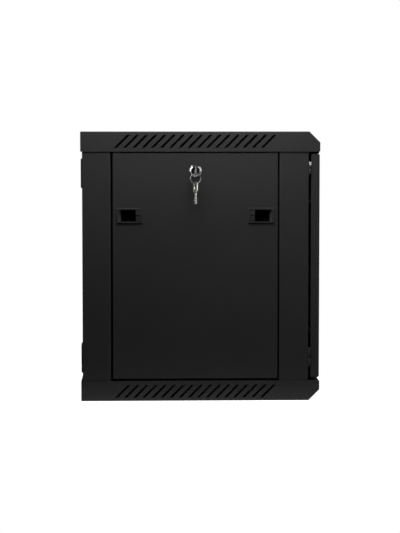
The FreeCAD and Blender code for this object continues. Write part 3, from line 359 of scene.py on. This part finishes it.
for lockName, lock in locks.items():
    makeBezel(lockName + "_bezel", bezelSizes, lock)


# Screws with a cross recess

screwSizes = {
    "frame_screws": {"head": 5.0, "height": 3.0, "shank": 3.0, "outward": "middle"},
    "back_panel_screws": {"head": 4.5, "height": 2.5, "shank": 2.5, "outward": (0.0, -1.0, 0.0)},
    "hinge_frame_screws": {"head": 2.89, "height": 1.5, "shank": 1.5, "outward": (0.0, -1.0, 0.0),
                           "sunk": True},
    "hinge_door_screws": {"head": 2.89, "height": 1.5, "shank": 1.5, "outward": (0.0, 1.0, 0.0),
                          "sunk": True},
    "left_lock_cam_screw": {"head": 4.5, "height": 2.5, "shank": 2.5, "outward": (1.0, 0.0, 0.0)},
    "right_lock_cam_screw": {"head": 4.5, "height": 2.5, "shank": 2.5, "outward": (-1.0, 0.0, 0.0)},
    "door_lock_cam_screw": {"head": 4.5, "height": 2.5, "shank": 2.5, "outward": (0.0, 1.0, 0.0)},
}
# a dome in shares of the head's height and radius, a sunk head's rim in millimetres and shares of its
# radius, and the cross in shares of the head
screwShape = {"dome": ((0.0, 0.6), (0.06, 0.75), (0.2, 0.89), (0.42, 0.97), (0.65, 1.0)),
              "rim": ((0.0, 0.94), (0.08, 0.985), (0.2, 1.0)), "reach": 0.5, "half": 0.13, "deep": 0.45,
              "narrowed": 0.75, "root": 0.86, "tip": 0.7, "pitch": 0.7, "steps": 32}


def copied(node):
    # a node's mesh in one skin, with its flat faces whole again
    shape = bmesh.new()
    shape.from_mesh(frame["nodes"][node].data)
    bmesh.ops.remove_doubles(shape, verts=shape.verts, dist=merging["copy"])
    return shape


def solidBoxes(node):
    # the box of each separate solid of a node, in millimetres
    shape = copied(node)
    left = set(shape.verts)
    boxes = []
    while left:
        found = {left.pop()}
        edge = set(found)
        while edge:
            edge = {other.other_vert(vert) for vert in edge for other in vert.link_edges} - found
            found |= edge
        left -= found
        spans = [[1000.0 * vert.co[axis] for vert in found] for axis in range(3)]
        boxes.append((Vector([min(values) for values in spans]), Vector([max(values) for values in spans])))
    shape.free()
    return boxes


def sunken(shape, loop):
    # walls and a floor inside a loop of edges; the floor's corners are given back to be moved
    walls = bmesh.ops.extrude_edge_only(shape, edges=loop)["geom"]
    floor = [item for item in walls if isinstance(item, bmesh.types.BMVert)]
    bmesh.ops.contextual_create(shape, geom=[item for item in walls if isinstance(item, bmesh.types.BMEdge)
                                             and all(vert in floor for vert in item.verts)])
    return floor


def screw(shape, sizes, form, length, place):
    # one screw with its head's top at the origin and its tip along +x
    single = bmesh.new()
    head, height, shank = sizes["head"], sizes["height"], sizes["shank"]
    if sizes.get("sunk"):
        outline = [(along, share * head) for along, share in form["rim"]] + [(height, shank)]
    else:
        outline = [(along * height, share * head) for along, share in form["dome"]]
        outline += [(height, head), (height, shank)]
    outline += threads(height + 0.3, length - 0.4, shank, form["root"] * shank, form["pitch"])
    outline += [(length, form["tip"] * shank), (length, 0.0)]
    turned(single, outline, form["steps"])
    rim = [edge for edge in single.edges if edge.is_boundary]
    reach, half = form["reach"] * head, form["half"] * head
    corners = [(half, half), (half, reach), (-half, reach), (-half, half), (-reach, half),
               (-reach, -half), (-half, -half), (-half, -reach), (half, -reach), (half, -half),
               (reach, -half), (reach, half)]
    cross = [single.verts.new((0.0, across, up)) for across, up in corners]
    loop = [single.edges.new(pair) for pair in zip(cross, cross[1:] + cross[:1])]
    bmesh.ops.triangle_fill(single, use_beauty=True, use_dissolve=False, edges=rim + loop)
    narrowed = form["narrowed"]
    for vert in sunken(single, loop):
        vert.co = Vector((form["deep"] * height, narrowed * vert.co.y, narrowed * vert.co.z))
    bmesh.ops.recalc_face_normals(single, faces=single.faces)
    addTo(shape, single, place)


def makeScrews(node, sizes, form):
    shape = bmesh.new()
    for low, high in solidBoxes(node):
        centre = (low + high) / 2.0
        outward = sizes["outward"]
        if outward == "middle":
            outward = (0.0, 0.0, -1.0 if centre.z > 0.0 else 1.0)
        outward = Vector(outward)
        length = abs((high - low).dot(outward))
        top = centre + outward * length / 2.0
        screw(shape, sizes, form, length, placed(*top, outward))
    return finishPiece(node + "_crossed", shape, node, "zinc")


for node, sizes in screwSizes.items():
    makeScrews(node, sizes, screwShape)
print("locks and screws ready")


# Pieces whose edges are only softened

lockEdges = {
    "_nut": {"width": 0.4, "finish": "zinc"},
    "_plug": {"width": 0.3, "finish": "darkMetal"},
    "_cam": {"width": 0.3, "finish": "zinc"},
}
softEdges = {lockName + piece: sizes for piece, sizes in lockEdges.items() for lockName in locks}
softEdges |= {
    "hinge_frame_leaves": {"width": 0.25, "finish": "powderCoat"},
    "hinge_door_leaves": {"width": 0.25, "finish": "powderCoat"},
    "rail_bolts": {"width": 0.35, "finish": "zinc"},
    "rail_nuts": {"width": 0.3, "finish": "zinc"},
    "earth_nuts": {"width": 0.3, "finish": "zinc"},
    "rear_entry_trim": {"width": 0.45, "finish": "rubber"},
    "door_bumpers": {"width": 0.5, "finish": "rubber"},
}
softAngles = {"flat": 0.5, "sharp": 30.0}  # faces merge below the first, edges are rounded above the second


def soften(shape, width, segments=2):
    # merge the triangles into whole faces and round the edges between them
    bmesh.ops.dissolve_limit(shape, angle_limit=math.radians(softAngles["flat"]), verts=shape.verts,
                             edges=shape.edges)
    sharp = math.radians(softAngles["sharp"])
    edges = [edge for edge in shape.edges if edge.is_manifold and edge.calc_face_angle() > sharp]
    rounded(shape, edges, width / 1000.0, segments)


for node, sizes in softEdges.items():
    shape = copied(node)
    soften(shape, sizes["width"])
    finishPiece(node + "_soft", shape, node, sizes["finish"])


# Side panel latches: softened edges, and a deep matt recess behind the housing's face. Faces nearer the
# middle of the cabinet than a depth, and those under the low edge, get a near-black finish without sheen:
# painted shade in the recess and a painted shadow line under the housing.

latchSizes = {"width": 0.35, "faceDepth": 296.0, "slitDepth": 299.4, "lowEdge": 81.0}
latches = [side + end + piece for side in ("left_", "right_") for end in ("rear_latch", "front_latch")
           for piece in ("_housing", "_slider")]
for node in latches:
    shape = copied(node)
    soften(shape, latchSizes["width"], 3)
    dark = latchSizes["slitDepth"] if node.endswith("slider") else latchSizes["faceDepth"]
    for face in shape.faces:
        middle = 1000.0 * face.calc_center_median()
        # painted shade in the deep recess, and a painted shadow line under the low edge
        if abs(middle.x) < dark or middle.z < latchSizes["lowEdge"]:
            face.material_index = 1
    piece = finishPiece(node + "_soft", shape, node, "plastic")
    piece.data.materials.append(finishes["paintedShade"])
print("latches ready")


# Painted shade: a near-black strip along the lower edge of the top cover's nose, which closes the slit above
# the door so that it reads as shade

shadeStripSizes = {"across": (-297.0, 297.0), "depth": (-441.4, -432.4), "height": (209.25, 213.2), "edge": 0.4,
              "cuts": 20}


def makeShadeStrip(sizes):
    shape = bmesh.new()
    low, high = (Vector([sizes[way][end] for way in ("across", "depth", "height")]) for end in (0, 1))
    stretch = Matrix.Diagonal(tuple(high - low) + (1.0,))
    bmesh.ops.create_cube(shape, size=1.0, matrix=Matrix.Translation((low + high) / 2.0) @ stretch)
    half = (high.x - low.x) / 2.0
    longEdges = [edge for edge in shape.edges if edge.calc_length() > half]
    bmesh.ops.subdivide_edges(shape, edges=longEdges, cuts=sizes["cuts"])
    square = [edge for edge in shape.edges if edge.calc_face_angle() > math.radians(60.0)]
    rounded(shape, square, sizes["edge"], 3)
    bmesh.ops.transform(shape, matrix=millimetres, verts=shape.verts)
    # a dark sheet standing in for the shade in the slit, sitting on the cover and not replacing it
    return finishPiece("top_cover_shade_strip", shape, "top_cover", "paintedShade", replace=False)


makeShadeStrip(shadeStripSizes)


# Hinge pins with domed ends and a grip to pull them by, and the threaded earth stud

pinSizes = {"radius": 1.5, "head": 2.6, "headHeight": 6.0, "headEdge": 0.9, "neck": 2.1,
            "neckAt": (2.2, 2.6, 3.2, 3.6), "tipEdge": 0.5, "end": 0.4, "steps": 40}
studSizes = {"radius": 3.0, "root": 2.6, "start": 0.4, "plain": 2.0, "flange": 6.0, "flangeHeight": 1.0,
             "edge": 0.3, "pitch": 0.8, "steps": 40}


def makePins(sizes):
    shape = bmesh.new()
    radius, head, neck, end = sizes["radius"], sizes["head"], sizes["neck"], sizes["end"]
    for low, high in solidBoxes("hinge_pins"):
        centre = (low + high) / 2.0
        length = high.z - low.z
        single = bmesh.new()
        if high.x - low.x > 2.2 * radius:  # wider than its shank, so this one has a head to pull it by
            edge = sizes["headEdge"]
            first, narrow, wide, last = sizes["neckAt"]
            outline = [(0.0, 0.0), (0.0, 0.5 * head)] + arc(edge, head - edge, edge, -90, 0, 6)
            outline += [(first, head), (narrow, neck), (wide, neck), (last, head)]
            outline += [(sizes["headHeight"], head), (sizes["headHeight"], radius)]
        else:
            edge = sizes["tipEdge"]
            outline = [(0.0, 0.0)] + arc(edge, radius - edge, edge, -90, 0, 4)
        outline += [(length - end, radius), (length, radius - end), (length, 0.0)]
        turned(single, outline, sizes["steps"])
        addTo(shape, single, placed(centre.x, centre.y, high.z, (0, 0, 1)))
    return finishPiece("hinge_pins_turned", shape, "hinge_pins", "nickel")


def makeStud(sizes):
    shape = bmesh.new()
    low, high = solidBoxes("earth_stud")[0]
    centre = (low + high) / 2.0
    length = high.z - low.z
    root, flange, edge = sizes["root"], sizes["flange"], sizes["edge"]
    outline = [(0.0, 0.0), (0.0, root - edge)]
    outline += threads(sizes["start"], length - sizes["plain"], sizes["radius"], root, sizes["pitch"])
    outline += [(length - sizes["flangeHeight"], root)]
    outline += arc(length - sizes["flangeHeight"] + edge, flange - edge, edge, -90, 0, 3)
    outline += [(length, flange), (length, 0.0)]
    turned(shape, outline, sizes["steps"])
    bmesh.ops.transform(shape, matrix=placed(centre.x, centre.y, high.z, (0, 0, 1)), verts=shape.verts)
    return finishPiece("earth_stud_threaded", shape, "earth_stud", "zinc")


makePins(pinSizes)
makeStud(studSizes)


# Keys: a stamped bow with a long hole, a cut blade with a milled groove, and the split ring

keySizes = {"bowLength": 21.0, "bowWidth": 19.0, "corner": 7.0, "cornerEnd": 8.3, "shoulder": 0.6,
            "rim": 3.0, "holeWidth": 11.0, "blade": 3.5, "length": 42.0, "tip": 2.4, "tipHalf": 0.9,
            "sheet": 2.0,
            "cuts": ((24.5, 1.0), (27.6, 1.5), (30.7, 0.8), (33.8, 1.6), (36.9, 1.1)), "cutHalf": 1.1,
            "cutFlat": 0.3, "upperShare": 0.6, "groove": 0.7, "grooveFrom": 1.5, "grooveTo": 1.2,
            "grooveDepth": 0.35, "grooveFloor": 0.6, "edge": 0.28}
keys = {
    "inserted_key": {"place": (-323.9, -212.15, 177.2), "hang": 0.0, "turn": 0.0},
    "spare_key": {"place": (-313.4, -212.15, 158.04), "hang": 90.0, "turn": 20.0},
}


def corner(along, up, size, start, end, steps=7):
    angles = [math.radians(start + (end - start) * step / steps) for step in range(steps + 1)]
    return [(along + size * math.cos(angle), up + size * math.sin(angle)) for angle in angles]


def keyOutline(sizes):
    # the upper edge from the bow's outer end to the tip, then back along the deeper cuts of the lower edge
    half, size, blade, length = sizes["bowWidth"] / 2, sizes["corner"], sizes["blade"], sizes["length"]
    upper = corner(size, half - size, size, 180, 90)
    upper += corner(sizes["bowLength"] - size, half - size, size, 90, sizes["cornerEnd"])
    upper += [(sizes["bowLength"] + sizes["shoulder"], blade)]
    lower = [(along, -up) for along, up in upper]
    wide, flat = sizes["cutHalf"], sizes["cutFlat"]
    for along, depth in sizes["cuts"]:
        shallow = blade - sizes["upperShare"] * depth
        upper += [(along - wide, blade), (along - flat, shallow), (along + flat, shallow),
                  (along + wide, blade)]
        lower += [(along - wide, -blade), (along - flat, depth - blade), (along + flat, depth - blade),
                  (along + wide, -blade)]
    shoulder, tipHalf = length - sizes["tip"], sizes["tipHalf"]
    tip = [(shoulder, blade), (length, tipHalf), (length, -tipHalf), (shoulder, -blade)]
    return upper + tip + lower[::-1]


def keyHole(sizes):
    half = sizes["holeWidth"] / 2
    size = half - 0.05  # leaves a short straight side, so that no two points fall together
    start, end = sizes["rim"] + size, sizes["bowLength"] - sizes["rim"] - size
    return (corner(start, half - size, size, 180, 90, 8) + corner(end, half - size, size, 90, 0, 8) +
            corner(end, size - half, size, 0, -90, 8) + corner(start, size - half, size, -90, -180, 8))


def keyGroove(sizes):
    start, end = sizes["bowLength"] + sizes["grooveFrom"], sizes["length"] - sizes["grooveTo"]
    half = sizes["groove"]
    return [(start, half), (start, -half), (end, -half), (end, half)]


def makeKey(node, sizes, where):
    shape = bmesh.new()
    sides = []
    for side in (-1.0, 1.0):
        loops = []
        for outline in (keyOutline(sizes), keyHole(sizes), keyGroove(sizes)):
            verts = [shape.verts.new((along, side * sizes["sheet"] / 2, up)) for along, up in outline]
            loops.append([shape.edges.new(pair) for pair in zip(verts, verts[1:] + verts[:1])])
        bmesh.ops.triangle_fill(shape, use_beauty=True, use_dissolve=False, edges=sum(loops, []))
        for vert in sunken(shape, loops[2]):
            vert.co.y -= side * sizes["grooveDepth"]
            vert.co.z *= sizes["grooveFloor"]
        sides.append(loops)
    for first, second in zip(sides[0][:2], sides[1][:2]):
        bmesh.ops.bridge_loops(shape, edges=first + second)
    rims = [edge for loops in sides for loop in loops[:2] for edge in loop]
    rounded(shape, rims, sizes["edge"], 2)
    hang = Matrix.Rotation(math.radians(where["hang"]), 4, "Y")
    turn = Matrix.Rotation(math.radians(where["turn"]), 4, "Z")
    place = Matrix.Translation(Vector(where["place"]) / 1000.0) @ turn @ hang @ millimetres
    bmesh.ops.transform(shape, matrix=place, verts=shape.verts)
    return finishPiece(node + "_cut", shape, node, "nickel", 25.0)


ringSizes = {"centre": (-313.4, -212.15, 163.37), "inner": 8.6, "outer": 10.1, "wire": 0.5, "start": -0.76,
             "pitch": 0.51, "edge": 0.18, "turns": 2.0, "steps": 144}


def makeRing(sizes):
    # flattened wire wound twice, its turns lying against each other
    shape = bmesh.new()
    inner, outer, wire, edge = sizes["inner"], sizes["outer"], sizes["wire"], sizes["edge"]
    section = [(0.0, inner + edge), (edge, inner), (wire - edge, inner), (wire, inner + edge),
               (wire, outer - edge), (wire - edge, outer), (edge, outer), (0.0, outer - edge)]
    verts = [shape.verts.new((sizes["start"] + along, 0.0, -radius)) for along, radius in section]
    face = shape.faces.new(verts)
    bmesh.ops.spin(shape, geom=[face], cent=(0, 0, 0), axis=(1, 0, 0), angle=math.tau * sizes["turns"],
                   steps=sizes["steps"], dvec=(sizes["pitch"] * sizes["turns"] / sizes["steps"], 0, 0))
    bmesh.ops.transform(shape, matrix=placed(*sizes["centre"]), verts=shape.verts)
    return finishPiece("key_ring_wound", shape, "key_ring", "nickel")


for node, where in keys.items():
    makeKey(node, keySizes, where)
makeRing(ringSizes)
print("keys ready")


# Floor, light and camera

floorSizes = {"border": 0.03, "gap": 0.0005, "tone": 0.5, "lighter": 0.525, "glow": 0.42, "seen": 1.0}


def makeFloor(sizes):
    # a pale sheet just under the cabinet: white to the camera, and it lights the underside a little
    mesh = bpy.data.meshes.new("floor")
    shape = bmesh.new()
    low, high = cadBounds
    centre = (low + high) / 2
    reach = (high - low) / 2
    place = Matrix.Translation((centre.x, centre.y, low.z - sizes["gap"]))
    stretch = Matrix.Diagonal((reach.x + sizes["border"], reach.y + sizes["border"], 1.0, 1.0))
    bmesh.ops.create_grid(shape, x_segments=1, y_segments=1, size=1.0, matrix=place @ stretch)
    shape.to_mesh(mesh)
    shape.free()
    floor = bpy.data.objects.new("floor", mesh)
    scene.collection.objects.link(floor)
    finish = Finish("paleFloor")
    tone = finish.mixed(finish.noise(2.0, 2.0), grey(sizes["tone"]), grey(sizes["lighter"]))
    seen = finish.node("ShaderNodeLightPath", {}, {}, "Is Camera Ray")
    finish.set(Base_Color=tone, Roughness=0.9, Specular_IOR_Level=0.0, Emission_Strength=1.0,
               Emission_Color=finish.mixed(seen, grey(sizes["glow"]), grey(sizes["seen"])))
    mesh.materials.append(finish.material)


lights = {
    "over": {"place": (-0.46, -0.22, 0.62), "aim": (-0.3, -0.22, 0.15), "size": 0.3, "power": 10.9,
             "mirrored": False},
    "overFront": {"place": (-0.5, -0.38, 0.6), "aim": (-0.3, -0.3, 0.15), "size": 0.25, "power": 1.4,
                  "mirrored": False},
    "key": {"place": (-0.72, 0.33, 0.77), "aim": (-0.3, -0.21, 0.15), "size": 0.3, "power": 4.0},
    "lowFront": {"place": (-0.75, -0.75, -0.05), "aim": (-0.3, -0.42, -0.22), "size": 0.25, "power": 0.48},
    "cardRear": {"place": (-0.55, 1.2, 0.85), "aim": (-0.3, -0.21, 0.16), "size": 0.7, "tall": 1.8,
                 "power": 10.0, "direct": False},
    "cardFront": {"place": (-0.55, -1.6, 0.85), "aim": (-0.3, -0.21, 0.16), "size": 0.7, "tall": 1.8,
                  "power": 5.0, "direct": False},
    "cardSide": {"place": (-1.4, -1.15, 0.45), "aim": (-0.31, -0.21, 0.15), "size": 0.8, "power": 4.0,
                 "direct": False},
    "right": {"place": (1.1, 0.1, 0.9), "aim": (0.3, -0.2, 0.1), "size": 0.5, "power": 5.0},
    "top": {"place": (0.0, -0.3, 1.3), "aim": (0.0, -0.22, 0.25), "size": 0.6, "power": 1.5},
    "door": {"place": (0.5, -1.6, 0.7), "aim": (0.0, -0.44, 0.0), "size": 0.6, "power": 5.0},
}


def facing(place, aim):
    return (Vector(aim) - Vector(place)).to_track_quat("-Z", "Y")


def makeLight(name, sizes):
    data = bpy.data.lights.new(name, "AREA")
    data.shape = "RECTANGLE"
    data.size = sizes["size"]
    data.size_y = sizes.get("tall", sizes["size"])
    data.energy = sizes["power"]
    light = bpy.data.objects.new(name, data)
    light.location = sizes["place"]
    light.visible_glossy = sizes.get("mirrored", True)  # a lamp close overhead would show in the chrome
    light.visible_diffuse = sizes.get("direct", True)  # the cards are there for reflections alone
    light.rotation_mode = "QUATERNION"
    light.rotation_quaternion = facing(sizes["place"], sizes["aim"])
    scene.collection.objects.link(light)


cameraSizes = {"lens": 113.87, "rise": -0.047, "place": (-3.41, -0.1264, 0.245),
               "aim": (-0.3, -0.2206, 0.047)}


def makeCamera(sizes):
    data = bpy.data.cameras.new("camera")
    data.lens = sizes["lens"]
    data.sensor_width = 36.0
    data.shift_y = sizes["rise"]
    camera = bpy.data.objects.new("camera", data)
    camera.location = sizes["place"]
    camera.rotation_mode = "QUATERNION"
    camera.rotation_quaternion = facing(sizes["place"], sizes["aim"])
    scene.collection.objects.link(camera)
    scene.camera = camera


makeFloor(floorSizes)
for name, sizes in lights.items():
    makeLight(name, sizes)
makeCamera(cameraSizes)
worldGlow = {"backdrop": 1.0, "surroundings": 0.06}


def makeWorld(sizes):
    # a white backdrop that lights the cabinet only a little
    world = bpy.data.worlds.new("studio")
    world.use_nodes = True
    scene.world = world
    tree = world.node_tree
    path = tree.nodes.new("ShaderNodeLightPath")
    strength = tree.nodes.new("ShaderNodeMapRange")
    tree.links.new(path.outputs["Is Camera Ray"], strength.inputs["Value"])
    strength.inputs["To Min"].default_value = sizes["surroundings"]
    strength.inputs["To Max"].default_value = sizes["backdrop"]
    tree.nodes["Background"].inputs["Color"].default_value = grey(1.0)
    tree.links.new(strength.outputs[0], tree.nodes["Background"].inputs["Strength"])


makeWorld(worldGlow)
scene.view_settings.view_transform = "Standard"
print("stage ready")
